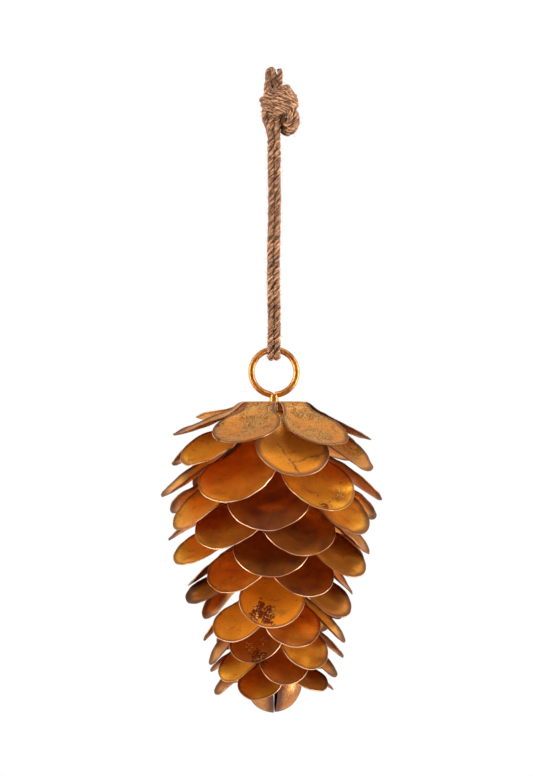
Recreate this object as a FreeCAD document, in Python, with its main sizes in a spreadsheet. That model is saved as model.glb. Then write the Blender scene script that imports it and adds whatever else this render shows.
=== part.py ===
"""Hanging pine cone ornament: sheet rosettes stacked on a wire spine, on a doubled jute cord.

Millimetres, +Z up, the front towards -Y. The origin is the crown of the small cord loop above the knot,
inside the loop, where the ornament hangs. The spine runs straight down the Z axis.
"""

import FreeCAD, Part
import math
import os

import Sketcher
from FreeCAD import Placement, Rotation, Vector

doc = FreeCAD.newDocument("pine_cone_ornament")
sheet = doc.addObject("Spreadsheet::Sheet", "Sizes")

# Driving sizes, in millimetres and degrees, each an alias in the sheet
SIZES = {
    "cone_drop": 191.4,          # from the cord loop's crown down to the top rosette's plate
    "sheet_thickness": 0.6,
    "wire_radius": 1.8,          # the eye, its neck and the spine are one wire
    "wire_fit": 0.1,             # play between the wire and what is threaded on it
    "eye_radius": 13.1,          # ring of the eye, at the middle of the wire
    "eye_rise": 17.3,            # from the top plate up to the middle of the ring
    "neck_bend": 4.0,            # reverse bend between the ring and the spine
    "eye_gap_angle": 2.0,        # the free end, brazed to the neck, stops this far before the ring's foot
    "braze_foot_radius": 2.7,
    "braze_top_radius": 2.3,
    "sleeve_radius": 3.0,
    "bend_scatter": 2.6,         # hand bending: droop of one scale against the next
    "turn_scatter": 1.3,
    "bud_radius": 15.9,          # outside of the ball
    "bud_plate_radius": 6.5,
    "slit_width": 3.0,           # gap between two lobes of the bud, at the ball's equator
    "slit_foot": 0.7,            # the same gap at the bottom
    "slit_turn": 3.0,
    "slit_rise": 1.5,            # the slits end this far above the ball's equator
    "nut_radius": 3.6,
    "nut_height": 3.0,
    "wire_tail": 1.2,            # spine left below the nut
    "cord_radius": 2.05,
    "cord_fit": 0.05,            # half of the gap between two legs of cord
    "cord_lean": 0.5,            # how far the legs wander as they hang
    "bight_radius": 1.55,        # the cord where it is folded tight above the knot
    "bight_half_width": 2.15,    # from the middle of the loop to the middle of its cord
    "bight_offset": 1.3,         # the loop stands to the left of the legs
    "knot_foot": 26.9,           # from the origin down to where the legs leave the knot
    "knot_offset": 3.4,          # the knot stands to the right of the legs
    "knot_half_width": 11.0,
    "knot_half_depth": 9.4,
    "knot_half_height": 11.6,
    "knot_tilt": 25.0,
    "lobe_offset": 8.6,
    "lobe_drop": 29.3,
    "lobe_half_width": 6.4,
    "lobe_half_depth": 7.2,
    "lobe_half_height": 8.4,
    "lobe_tilt": 20.0,
    "stub_foot": 8.3,            # from the origin down to the knot's top
    "end_radius": 1.45,
    "end_front_rise": 10.0,
    "end_back_rise": 6.8,
    "end_fit": 0.05,
}

# One row for each rosette, from the top: step below the one above, distance from the spine to a scale's
# crease, width of the neck at the crease, greatest width, length from crease to tip, droop of the line
# from crease to tip, and turn of one scale to the right of the front.
ROSETTES = [
    ("step", "crease", "neck", "width", "length", "droop", "turn"),
    (0.0, 17.5, 18.5, 39.5, 45.3, 26.6, -20.0),
    (5.5, 17.5, 18.5, 42.0, 53.2, 37.5, 15.0),
    (14.2, 19.0, 19.0, 45.0, 57.9, 38.4, -23.0),
    (14.5, 19.0, 19.0, 46.0, 56.6, 39.7, -4.0),
    (14.5, 18.5, 18.5, 43.5, 53.5, 40.0, 22.0),
    (14.5, 18.0, 18.0, 42.7, 53.6, 37.9, -1.0),
    (14.5, 16.0, 16.0, 39.0, 44.5, 42.0, 27.0),
    (14.5, 15.5, 16.0, 37.4, 44.5, 40.6, -1.0),
    (15.7, 14.0, 14.0, 33.5, 41.0, 46.5, 23.0),
    (14.5, 13.0, 13.5, 31.0, 38.0, 41.0, -20.0),
    (13.9, 12.0, 12.0, 28.0, 33.0, 42.0, 15.0),
    (12.8, 11.0, 11.5, 26.5, 30.5, 36.0, -18.0),
]
SIZES["dish_radius_top"] = 75.0  # the top rosette's scales are dished like a ball
SIZES["dish_radius"] = 150.0     # the others curve this gently from crease to tip,
SIZES["trough_ratio"] = 1.5      # and from side to side on this many of their widths

SCALE_COUNT = 6
CREASE_OVERLAP = 0.3             # share of the sheet's thickness by which a plate runs past its creases

# The small scatter of hand bending is a wave that never falls into step with the scales
SCATTER_PER_SCALE = 137.5
SCATTER_PER_ROSETTE = 71.0
TURN_WAVE = 1.7                  # the scatter in turn runs this much faster than the one in droop

# Scales bent out of line by hand: (rosette, scale) and its further droop and turn in degrees
BENT_SCALES = {(1, 0): (0.0, -4.5), (1, 1): (6.0, -3.0), (1, 2): (3.0, 0.0), (1, 3): (-5.0, 0.0),
               (1, 4): (-11.0, 0.0), (1, 5): (-4.0, 0.0), (2, 0): (2.0, 0.0), (2, 1): (4.0, -8.0),
               (2, 2): (-6.0, 0.0), (2, 5): (-6.0, -5.0), (3, 0): (0.0, -3.0), (3, 1): (6.0, -3.0),
               (3, 5): (-2.0, 0.0), (4, 0): (2.0, -1.0), (4, 1): (3.0, 0.0), (4, 4): (-8.0, 6.0),
               (4, 5): (5.0, 0.0), (5, 0): (2.0, -3.0), (5, 1): (4.0, -2.0), (5, 4): (-4.0, 0.0),
               (5, 5): (-1.5, 6.0), (6, 0): (-3.0, -1.0), (6, 1): (4.0, -5.0), (6, 2): (5.0, 3.0),
               (6, 5): (-8.0, 3.0), (7, 0): (0.0, -2.0), (7, 1): (9.0, -1.0), (7, 5): (-4.5, 0.0),
               (8, 0): (9.0, 0.0), (8, 1): (1.0, -7.0), (8, 2): (10.0, 0.0), (8, 4): (10.0, 6.0),
               (8, 5): (-12.0, 0.0), (9, 0): (1.0, -5.0), (9, 5): (-4.0, 0.0), (10, 0): (-3.0, 0.0),
               (10, 1): (6.0, -4.0), (10, 2): (5.0, 0.0), (10, 5): (10.0, 0.0), (11, 0): (-1.0, -2.0),
               (11, 5): (0.0, -3.0), (12, 1): (-5.0, 3.0)}

ARC_SHARE = 0.45
WIRE_CLEARANCE = 0.45            # between the cord and the ring's wire, in the straight runs beside it

# Route of one leg of cord: height above the ring's wire as a share of the leg, and how far it wanders to
# the side and to the front as shares of cord_lean
LEG_POINTS = [(0.12, 0.3, 0.2), (0.33, -1.0, 0.5), (0.60, 0.8, 0.0), (0.84, 0.0, 0.0)]


def rosette_name(number, column):
    return "%s_%02d" % (column, number)


for number, row in enumerate(ROSETTES[1:], start=1):
    for column, value in zip(ROSETTES[0], row):
        SIZES[rosette_name(number, column)] = value

for line, (alias, value) in enumerate(SIZES.items(), start=1):
    sheet.set("A%d" % line, alias)
    sheet.set("B%d" % line, str(value))
    sheet.setAlias("B%d" % line, alias)
doc.recompute()

ROSETTE_COUNT = len(ROSETTES) - 1
parts = []


def size(alias):
    return float(sheet.get(alias))


def add(kind, name, **bindings):
    """Add an object and bind its properties to expressions over the sheet."""
    made = doc.addObject(kind, name)
    for prop, expression in bindings.items():
        made.setExpression(prop, expression)
    return made


def place(made, x="0", y="0", z="0", yaw="0", pitch="0", roll="0"):
    made.setExpression("Placement", "placement(vector(%s; %s; %s); rotation(%s; %s; %s))"
                       % (x, y, z, yaw, pitch, roll))
    return made


def cut(name, base, tool):
    made = doc.addObject("Part::Cut", name)
    made.Base, made.Tool = base, tool
    return made


def common(name, base, tool):
    made = doc.addObject("Part::Common", name)
    made.Base, made.Tool = base, tool
    return made


def fuse(name, pieces):
    made = doc.addObject("Part::MultiFuse", name)
    made.Shapes = pieces
    return made


def finish_part(made, label):
    made.Label = label
    parts.append(made)


def cylinder(name, radius, height, z="0", x="0", y="0", **turn):
    return place(add("Part::Cylinder", name, Radius=radius, Height=height), x=x, y=y, z=z, **turn)


def ellipsoid(name, across, deep, high, **placing):
    return place(add("Part::Ellipsoid", name, Radius1=high, Radius2=across, Radius3=deep), **placing)


# Heights of the twelve plates, each at the middle of its sheet
def plate_level(number):
    steps = " - ".join("Sizes." + rosette_name(row, "step") for row in range(1, number + 1))
    return "(-Sizes.cone_drop - %s)" % steps


WIRE_HOLE = "(Sizes.wire_radius + Sizes.wire_fit)"
HALF_SHEET = "(Sizes.sheet_thickness / 2)"


# The scale's outline: a straight neck, two flares and a round head, all tangent
def scale_outline(number):
    neck = size(rosette_name(number, "neck")) / 2
    head = size(rosette_name(number, "width")) / 2
    middle = size(rosette_name(number, "length")) - head
    flare = (middle ** 2 + neck ** 2 - head ** 2) / (2 * (head - neck))
    touch = flare / (flare + head)
    touch_x = middle * touch
    touch_y = (neck + flare) * (1 - touch)
    sketch = doc.addObject("Sketcher::SketchObject", "outline_%02d" % number)
    turn = math.atan2(middle, neck + flare)
    side = math.atan2(touch_y, touch_x - middle)
    up, right = Vector(0, 0, 1), Vector(middle, 0, 0)
    head_arc = Part.ArcOfCircle(Part.Circle(right, up, head), -side, side)
    left_flare = Part.ArcOfCircle(Part.Circle(Vector(0, neck + flare, 0), up, flare),
                                  -math.pi / 2, -math.pi / 2 + turn)
    right_flare = Part.ArcOfCircle(Part.Circle(Vector(0, -neck - flare, 0), up, flare),
                                   math.pi / 2 - turn, math.pi / 2)
    root = Part.LineSegment(Vector(0, -neck, 0), Vector(0, neck, 0))
    sketch.addGeometry([root, left_flare, head_arc, right_flare], False)
    start, end, centre = 1, 2, 3
    sketch.addConstraint([
        Sketcher.Constraint("Coincident", 0, end, 1, start),
        Sketcher.Constraint("Tangent", 1, end, 2, end),
        Sketcher.Constraint("Tangent", 2, start, 3, start),
        Sketcher.Constraint("Coincident", 3, end, 0, start),
        Sketcher.Constraint("PointOnObject", 0, start, -2),
        Sketcher.Constraint("PointOnObject", 1, centre, -2),
        Sketcher.Constraint("PointOnObject", 3, centre, -2),
        Sketcher.Constraint("Symmetric", 0, start, 0, end, -1),
        Sketcher.Constraint("PointOnObject", 2, centre, -1),
    ])
    for name, constraint, column, share in (
            ("neck", Sketcher.Constraint("Distance", 0, 2 * neck), "neck", "1"),
            ("head", Sketcher.Constraint("Radius", 2, head), "width", "0.5")):
        index = sketch.addConstraint(constraint)
        sketch.renameConstraint(index, name)
        sketch.setExpression("Constraints." + name, "Sizes.%s * %s" % (rosette_name(number, column), share))
    index = sketch.addConstraint(Sketcher.Constraint("DistanceX", -1, 1, 2, 3, middle))
    sketch.renameConstraint(index, "middle")
    sketch.setExpression("Constraints.middle", "Sizes.%s - Sizes.%s / 2"
                         % (rosette_name(number, "length"), rosette_name(number, "width")))
    return sketch


# One scale: a patch of a thin ball, or of a thin ring whose tube is as tight as the trough, cut to the
# outline. It lies along X with its hollow side up, and its crease on Y. The patch is nudged down so that the
# hollow neck is centred on the flat crease.
def scale_blank(number):
    length = "Sizes." + rosette_name(number, "length")
    neck = "Sizes." + rosette_name(number, "neck")
    trough = "(Sizes.trough_ratio * Sizes.%s)" % rosette_name(number, "width")
    names = ("dish_outside_%02d" % number, "dish_inside_%02d" % number)
    if number == 1:
        dish = trough = "Sizes.dish_radius_top"
        shells = [add("Part::Sphere", name, Radius="%s %s %s" % (dish, sign, HALF_SHEET))
                  for name, sign in zip(names, "+-")]
    else:
        dish = "Sizes.dish_radius"
        shells = [add("Part::Torus", name, Radius1="%s - %s" % (dish, trough),
                      Radius2="%s %s %s" % (trough, sign, HALF_SHEET)) for name, sign in zip(names, "+-")]
    rise = "sqrt(%s ^ 2 - %s ^ 2 / 4)" % (dish, length)
    nudge = "%s ^ 2 / (16 * %s)" % (neck, trough)
    for shell in shells:
        place(shell, x="%s / 2" % length, z="%s - %s" % (rise, nudge), roll="90")
    prism = add("Part::Extrusion", "blank_%02d" % number, LengthFwd=length, LengthRev=length)
    prism.Base = scale_outline(number)
    prism.DirMode = "Custom"
    prism.Dir = Vector(0, 0, 1)
    prism.Solid = True
    return cut("scale_%02d" % number, common("scale_full_%02d" % number, shells[0], prism), shells[1])


# A rosette: six scales at equal turns round a small plate with a hole for the spine
def rosette(number):
    level = plate_level(number)
    crease = "Sizes." + rosette_name(number, "crease")
    neck = "Sizes." + rosette_name(number, "neck")
    first_turn = "(Sizes.%s - 90)" % rosette_name(number, "turn")
    pieces = []
    rim = "(%s + Sizes.sheet_thickness * %g)" % (crease, CREASE_OVERLAP)
    hexagon = add("Part::Prism", "hexagon_%02d" % number, Circumradius="%s / cos(%g)" % (rim, 180.0 / SCALE_COUNT),
                  Height="Sizes.sheet_thickness")
    hexagon.Polygon = SCALE_COUNT
    place(hexagon, z="%s - %s" % (level, HALF_SHEET), yaw="%s + %g" % (first_turn, 180.0 / SCALE_COUNT))
    corners = cylinder("corners_%02d" % number, "sqrt(%s ^ 2 + %s ^ 2 / 4)" % (rim, neck),
                       "Sizes.sheet_thickness", z="%s - %s" % (level, HALF_SHEET))
    hole = cylinder("spine_hole_%02d" % number, WIRE_HOLE, "4 * Sizes.sheet_thickness",
                    z="%s - 2 * Sizes.sheet_thickness" % level)
    pieces.append(cut("plate_%02d" % number, common("plate_full_%02d" % number, hexagon, corners), hole))
    blank = scale_blank(number)
    for index in range(SCALE_COUNT):
        wave = SCATTER_PER_SCALE * index + SCATTER_PER_ROSETTE * number
        bent_droop, bent_turn = BENT_SCALES.get((number, index), (0.0, 0.0))
        yaw = ("(%s + %g + Sizes.turn_scatter * sin(%g))"
               % (first_turn, 360.0 / SCALE_COUNT * index + bent_turn, TURN_WAVE * wave))
        droop = ("Sizes.%s + Sizes.bend_scatter * sin(%g) + %g"
                 % (rosette_name(number, "droop"), wave, bent_droop))
        link = doc.addObject("App::Link", "scale_%02d_%d" % (number, index + 1))
        link.LinkedObject = blank
        place(link, x="%s * cos%s" % (crease, yaw), y="%s * sin%s" % (crease, yaw), z=level,
              yaw=yaw, pitch=droop)
        pieces.append(link)
    finish_part(fuse("rosette_body_%02d" % number, pieces), "rosette_%02d" % number)


for number in range(1, ROSETTE_COUNT + 1):
    rosette(number)


# Sleeves between the plates, threaded on the spine and clamped face to face
for number in range(1, ROSETTE_COUNT):
    foot = "(%s + %s)" % (plate_level(number + 1), HALF_SHEET)
    height = "(Sizes.%s - Sizes.sheet_thickness)" % rosette_name(number + 1, "step")
    wall = cylinder("sleeve_wall_%02d" % number, "Sizes.sleeve_radius", height, z=foot)
    bore = cylinder("sleeve_bore_%02d" % number, WIRE_HOLE, height, z=foot)
    finish_part(cut("sleeve_%02d" % number, wall, bore), "spacer_%02d" % number)


# The bud: a ball of sheet under the last plate, slit into four lobes from below
BUD_TOP = "(%s - %s)" % (plate_level(ROSETTE_COUNT), HALF_SHEET)
BUD_CAP_HEIGHT = "sqrt(Sizes.bud_radius ^ 2 - Sizes.bud_plate_radius ^ 2)"
BUD_MIDDLE = "(%s - %s)" % (BUD_TOP, BUD_CAP_HEIGHT)


def bud_cap():
    ball = place(add("Part::Sphere", "bud_outside", Radius="Sizes.bud_radius"), z=BUD_MIDDLE)
    below = cylinder("bud_below_plate", "Sizes.bud_radius * 2", "Sizes.bud_radius * 2",
                     z="%s - Sizes.bud_radius * 2" % BUD_TOP)
    hollow = place(add("Part::Sphere", "bud_inside", Radius="Sizes.bud_radius - Sizes.sheet_thickness"),
                   z=BUD_MIDDLE)
    under_plate = cylinder("bud_under_plate", "Sizes.bud_radius * 2", "Sizes.bud_radius * 2",
                           z="%s - Sizes.bud_radius * 2 - Sizes.sheet_thickness" % BUD_TOP)
    shell = cut("bud_shell", common("bud_outer", ball, below), common("bud_hollow", hollow, under_plate))
    below_ball = "(Sizes.bud_radius + Sizes.sheet_thickness)"
    slits = []
    for index in range(2):
        slit = add("Part::Wedge", "bud_slit_%d" % (index + 1),
                   Xmin="-Sizes.slit_foot / 2", Xmax="Sizes.slit_foot / 2",
                   Ymin="0", Ymax=below_ball + " + Sizes.slit_rise",
                   Zmin="-" + below_ball, Zmax=below_ball,
                   X2min="-Sizes.slit_width / 2", X2max="Sizes.slit_width / 2",
                   Z2min="-" + below_ball, Z2max=below_ball)
        place(slit, z="%s - %s" % (BUD_MIDDLE, below_ball),
              yaw="%d + Sizes.slit_turn" % (90 * index), roll="90")
        slits.append(slit)
    slit_pair = fuse("bud_slits", slits)
    lobes = cut("bud_lobes", shell, slit_pair)
    hole = cylinder("bud_hole", WIRE_HOLE, "4 * Sizes.sheet_thickness",
                    z="%s - 2 * Sizes.sheet_thickness" % BUD_TOP)
    finish_part(cut("bud_body", lobes, hole), "bud_cap")


bud_cap()


# The nut that clamps the stack, inside the bud
NUT_TOP = "(%s - Sizes.sheet_thickness)" % BUD_TOP


def end_nut():
    block = add("Part::Prism", "nut_block", Circumradius="Sizes.nut_radius", Height="Sizes.nut_height")
    block.Polygon = 6
    place(block, z="%s - Sizes.nut_height" % NUT_TOP)
    bore = cylinder("nut_bore", "Sizes.wire_radius", "Sizes.nut_height", z="%s - Sizes.nut_height" % NUT_TOP)
    finish_part(cut("nut_body", block, bore), "end_nut")


end_nut()


# The eye and the spine: a ring, a reverse bend into the spine, and a braze at the neck
EYE_MIDDLE = "(%s + Sizes.eye_rise)" % plate_level(1)
BEND_ANGLE = "asin(Sizes.neck_bend / (Sizes.eye_radius + Sizes.neck_bend))"
BEND_FOOT = "(%s - (Sizes.eye_radius + Sizes.neck_bend) * cos(%s))" % (EYE_MIDDLE, BEND_ANGLE)


def eye_rod():
    ring = add("Part::Torus", "eye_ring", Radius1="Sizes.eye_radius", Radius2="Sizes.wire_radius",
               Angle3="360 deg - Sizes.eye_gap_angle * 1 deg - %s" % BEND_ANGLE)
    ring.setExpression("Placement", "placement(vector(0; 0; %s); rotationx(90) * "
                       "rotationz(Sizes.eye_gap_angle - 90))" % EYE_MIDDLE)
    bend = add("Part::Torus", "neck_bend", Radius1="Sizes.neck_bend", Radius2="Sizes.wire_radius",
               Angle3="90 deg - %s" % BEND_ANGLE)
    bend.setExpression("Placement", "placement(vector(-Sizes.neck_bend; 0; %s); rotationx(90))" % BEND_FOOT)
    spine_foot = "(%s - Sizes.nut_height - Sizes.wire_tail)" % NUT_TOP
    spine = cylinder("spine", "Sizes.wire_radius", "%s - %s" % (BEND_FOOT, spine_foot), z=spine_foot)
    plate_top = "(%s + %s)" % (plate_level(1), HALF_SHEET)
    braze = add("Part::Cone", "braze", Radius1="Sizes.braze_foot_radius", Radius2="Sizes.braze_top_radius",
                Height="%s - Sizes.eye_radius - %s" % (EYE_MIDDLE, plate_top))
    place(braze, z=plate_top)
    finish_part(fuse("eye_body", [ring, bend, spine, braze]), "eye_rod")


eye_rod()


# The hanging cord: its route round the ring's wire, as straight runs joined by tangent arcs
def rounded_path(points):
    """Lines and tangent arcs through a route; each arc takes ARC_SHARE of its shorter run."""
    edges = []
    last = points[0]
    radii = []
    for before, corner, after in zip(points, points[1:], points[2:]):
        into, out = corner - before, after - corner
        turn = into.getAngle(out)
        reach = ARC_SHARE * min(into.Length, out.Length)
        radii.append(reach / math.tan(turn / 2))
        into.normalize()
        out.normalize()
        arc_start, arc_end = corner - into * reach, corner + out * reach
        to_centre = (out - into).normalize()
        middle = corner + to_centre * (radii[-1] / math.cos(turn / 2) - radii[-1])
        edges.append(Part.LineSegment(last, arc_start).toShape())
        edges.append(Part.Arc(arc_start, middle, arc_end).toShape())
        last = arc_end
    edges.append(Part.LineSegment(last, points[-1]).toShape())
    return Part.Wire(edges), radii


def tube(name, label, points, radius):
    path, radii = rounded_path(points)
    print(label, "arc radii", [round(value, 1) for value in radii], "length", round(path.Length, 1))
    ring = Part.Wire(Part.Circle(points[0], points[1] - points[0], radius).toShape())
    shape = path.makePipeShell([ring], True, False)
    expected = math.pi * radius ** 2 * path.Length
    if abs(shape.Volume / expected - 1) > 0.01:
        raise ValueError("%s: volume %.1f against %.1f" % (label, shape.Volume, expected))
    made = doc.addObject("Part::Feature", name)
    made.Shape = shape
    made.Placement = Placement(Vector(0, 0, 0), Rotation())
    finish_part(made, label)


def cord_leg(side, facing):
    """Points of one leg from the knot down to the ring; facing is -1 in front of the wire and 1 behind."""
    radius = size("cord_radius")
    wire_level = size("eye_rise") + size("eye_radius") - size("cone_drop") - size("step_01")
    reach = size("wire_radius") + radius + WIRE_CLEARANCE
    beside = side * (radius + size("cord_fit"))
    depth = radius + size("cord_fit")
    foot = -size("knot_foot")
    start = wire_level + reach
    lean = size("cord_lean")
    points = [Vector(beside, facing * depth, foot)]
    for share, sideways, forward in reversed(LEG_POINTS):
        spread = depth + (reach - depth) * (1 - share) ** 3
        points.append(Vector(beside + lean * sideways, facing * (spread + lean * forward),
                             start + (foot - start) * share))
    points.append(Vector(beside, facing * reach, start))
    points.append(Vector(beside, facing * reach, wire_level - reach))
    return points


def hanger_cord(label, side):
    """One pass of the cord: down the front from the knot, round the ring's wire and up the back."""
    route = cord_leg(side, -1) + list(reversed(cord_leg(side, 1)))
    tube(label + "_tube", label, route, size("cord_radius"))


hanger_cord("hanger_cord_left", -1)
hanger_cord("hanger_cord_right", 1)


# The knot: the outer shape of an overhand knot in four legs, flat where the cord enters and leaves it
def hanger_knot():
    waist = "(Sizes.stub_foot + Sizes.knot_foot) / 2"
    body = ellipsoid("knot_body", "Sizes.knot_half_width", "Sizes.knot_half_depth", "Sizes.knot_half_height",
                     x="Sizes.knot_offset", z="-" + waist, pitch="-Sizes.knot_tilt")
    lobe = ellipsoid("knot_lobe", "Sizes.lobe_half_width", "Sizes.lobe_half_depth", "Sizes.lobe_half_height",
                     x="Sizes.lobe_offset", z="-Sizes.lobe_drop", pitch="-Sizes.lobe_tilt")
    both = fuse("knot_rough", [body, lobe])
    leg_room = "(2 * (Sizes.cord_radius + Sizes.cord_fit) + Sizes.cord_lean)"
    room = add("Part::Box", "leg_room", Length="%s * 2 + Sizes.knot_half_width" % leg_room,
               Width="%s * 2" % leg_room, Height="Sizes.knot_half_height * 4")
    place(room, x="-%s - Sizes.knot_half_width" % leg_room, y="-" + leg_room,
          z="-Sizes.knot_foot - Sizes.knot_half_height * 4")
    lid = add("Part::Box", "stub_room", Length="Sizes.knot_half_width * 4", Width="Sizes.knot_half_width * 4",
              Height="Sizes.knot_half_height * 2")
    place(lid, x="-Sizes.knot_half_width * 2", y="-Sizes.knot_half_width * 2", z="-Sizes.stub_foot")
    finish_part(cut("knot_shape", both, fuse("knot_cuts", [room, lid])), "hanger_knot")


hanger_knot()


# Above the knot: the small loop of the cord, and its two cut ends
def cord_bight():
    crown = "(Sizes.bight_radius - Sizes.bight_half_width)"
    ring = add("Part::Torus", "bight_bend", Radius1="Sizes.bight_half_width", Radius2="Sizes.bight_radius",
               Angle3="180")
    place(ring, x="-Sizes.bight_offset", z=crown, roll="90")
    legs = [cylinder("bight_leg_%d" % (index + 1), "Sizes.bight_radius", "%s + Sizes.stub_foot" % crown,
                     x="%sSizes.bight_half_width - Sizes.bight_offset" % side, z="-Sizes.stub_foot")
            for index, side in enumerate(("-", ""))]
    finish_part(fuse("bight_body", [ring] + legs), "cord_bight")


def cord_end(label, x, y, rise):
    stem = cylinder(label + "_stem", "Sizes.end_radius", rise, x=x, y=y, z="-Sizes.stub_foot")
    finish_part(stem, label)


BESIDE_BIGHT = "(Sizes.bight_radius + Sizes.end_radius + Sizes.end_fit)"

cord_bight()
cord_end("cord_end_front", "Sizes.bight_half_width - Sizes.bight_offset + " + BESIDE_BIGHT, "0",
         "Sizes.end_front_rise")
cord_end("cord_end_back", "Sizes.bight_half_width - Sizes.bight_offset", BESIDE_BIGHT,
         "Sizes.end_back_rise")

doc.recompute()

faults = [made.Name for made in doc.Objects if "Invalid" in made.State or "Error" in made.State]
for made in parts:
    if made.Shape.isNull() or not made.Shape.isValid() or not made.Shape.Solids:
        faults.append(made.Label)
if faults:
    raise RuntimeError("not built: " + ", ".join(faults))

os.makedirs("parts", exist_ok=True)
for made in parts:
    made.Shape.exportStep(os.path.join("parts", made.Label + ".step"))
    print(made.Label, "solids", len(made.Shape.Solids), "volume", round(made.Shape.Volume, 1))
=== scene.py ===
# %% [markdown]
# # A hanging pine cone of bent sheet metal
#
# The real ornament is made of twelve stars of thin metal, each with six round-ended scales, threaded on one
# wire and bent down by hand. The wire ends in a ring, and a doubled jute cord runs through the ring up to a
# knot. This lesson builds each of these in Blender around the solids that the CAD program made.
#
# All sizes below are in millimetres, as on the maker's drawing, and are turned into metres where a piece is
# placed. The origin is the top of the small cord loop above the knot, and the front looks towards -Y.

# %% Load the frame of CAD solids
import math

import bpy
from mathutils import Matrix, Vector


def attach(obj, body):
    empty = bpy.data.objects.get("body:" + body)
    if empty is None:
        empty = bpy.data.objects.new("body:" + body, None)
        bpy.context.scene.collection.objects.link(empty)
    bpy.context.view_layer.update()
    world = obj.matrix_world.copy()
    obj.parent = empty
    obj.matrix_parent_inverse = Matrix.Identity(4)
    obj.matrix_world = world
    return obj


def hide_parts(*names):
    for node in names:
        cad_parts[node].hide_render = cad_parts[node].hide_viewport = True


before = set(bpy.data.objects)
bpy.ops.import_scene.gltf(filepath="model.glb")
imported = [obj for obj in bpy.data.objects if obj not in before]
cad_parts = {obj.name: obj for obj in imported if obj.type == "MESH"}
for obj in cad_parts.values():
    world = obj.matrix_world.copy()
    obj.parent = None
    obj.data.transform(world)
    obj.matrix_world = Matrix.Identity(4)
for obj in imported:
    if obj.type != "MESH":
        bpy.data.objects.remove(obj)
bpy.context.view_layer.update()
MM = 0.001

# %% [markdown]
# ## Node trees written as sums
#
# In Blender's editor a node tree is drawn by hand. In a script it reads better as a formula, so a small class
# wraps one output socket: `reach * 2 + gap` then adds two Math nodes and joins them up. The same class serves
# geometry and materials, because both use the same Math node.


# %% Write sums as Math nodes
def join(tree, socket, value):
    """Link a Field to an input socket, or set the socket to a plain value."""
    if isinstance(value, Field):
        tree.links.new(value.socket, socket)
    else:
        socket.default_value = value


def add_node(tree, kind, inputs=(), output=0, **settings):
    """Add a node; inputs maps socket names or numbers to values, and settings are the node's properties."""
    node = tree.nodes.new(kind)
    for name, value in settings.items():
        setattr(node, name, value)
    for key, value in dict(inputs).items():
        join(tree, node.inputs[key], value)
    return Field(tree, node.outputs[output])


class Field:
    """One output socket of a node tree, which can stand in sums."""

    def __init__(self, tree, socket):
        self.tree = tree
        self.socket = socket

    def math(self, operation, *others, **settings):
        values = dict(enumerate((self, *others)))
        return add_node(self.tree, "ShaderNodeMath", values, operation=operation, **settings)

    def __add__(self, other):
        return self.math("ADD", other)

    def __sub__(self, other):
        return self.math("SUBTRACT", other)

    def __rsub__(self, other):
        return self.math("MULTIPLY_ADD", -1.0, other)

    def __mul__(self, other):
        return self.math("MULTIPLY", other)

    def __truediv__(self, other):
        return self.math("DIVIDE", other)

    def __rtruediv__(self, other):
        return self.math("POWER", -1.0) * other

    __radd__ = __add__
    __rmul__ = __mul__

    def sin(self):
        return self.math("SINE")

    def cos(self):
        return self.math("COSINE")

    def root(self):
        return self.math("SQRT")

    def limit(self):
        """The value held between 0 and 1."""
        return self.math("ADD", 0.0, use_clamp=True)

    def smooth(self, low, high):
        """0 below low, 1 above high, and an S-shaped change between them."""
        inputs = {"Value": self, "From Min": low, "From Max": high}
        return add_node(self.tree, "ShaderNodeMapRange", inputs, interpolation_type="SMOOTHSTEP")


def parts_of(vector):
    """The X, Y and Z of a vector Field."""
    first = add_node(vector.tree, "ShaderNodeSeparateXYZ", {0: vector})
    return [Field(vector.tree, socket) for socket in first.socket.node.outputs]


def vector_of(x, y, z):
    tree = next(value.tree for value in (x, y, z) if isinstance(value, Field))
    return add_node(tree, "ShaderNodeCombineXYZ", {0: x, 1: y, 2: z})


def length_of(x, y):
    """The length of a flat vector."""
    return (x * x + y * y).root()


# %% [markdown]
# ## The camera and the light
#
# The photograph was taken level with the middle of the ornament, from far enough away that the top and the
# bottom show no slant. A 96 mm lens at 1.2 m gives that. Sheet metal shows what stands round it, so the room
# matters more than the lamps: it is white at the sides, above and behind, and dark where the camera stands.
# The wall behind is pure white to the camera, and also to metal that mirrors it.

# %% Place the camera
SENSOR = 36.0
PICTURE_HEIGHT = 450.1           # what the picture's long side covers at the ornament, in mm
CAMERA_DISTANCE = 1200.0
CAMERA_SIDE = -4.35              # the ornament hangs a little right of the picture's middle
CAMERA_LEVEL = -183.3


def new_object(name, data):
    made = bpy.data.objects.new(name, data)
    bpy.context.scene.collection.objects.link(made)
    return made


camera = new_object("camera", bpy.data.cameras.new("camera"))
camera.data.sensor_width = SENSOR
camera.data.lens = SENSOR * CAMERA_DISTANCE / PICTURE_HEIGHT
camera.location = Vector((CAMERA_SIDE, -CAMERA_DISTANCE, CAMERA_LEVEL)) * MM
camera.rotation_euler = (math.radians(90), 0, 0)
camera.data.clip_start = 0.05
camera.data.clip_end = 20.0
bpy.context.scene.camera = camera
bpy.context.scene.view_settings.view_transform = "Standard"
print("lens in mm:", round(camera.data.lens, 1))


# %% Hang the soft boxes
CONE_MIDDLE = Vector((0.0, 0.0, -0.28))


def soft_box(name, place, width, height, watts):
    lamp = bpy.data.lights.new(name, "AREA")
    lamp.shape = "RECTANGLE"
    lamp.size, lamp.size_y = width, height
    lamp.energy = watts
    made = new_object(name, lamp)
    made.location = place
    made.rotation_euler = (CONE_MIDDLE - Vector(place)).to_track_quat("-Z", "Y").to_euler()


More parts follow.
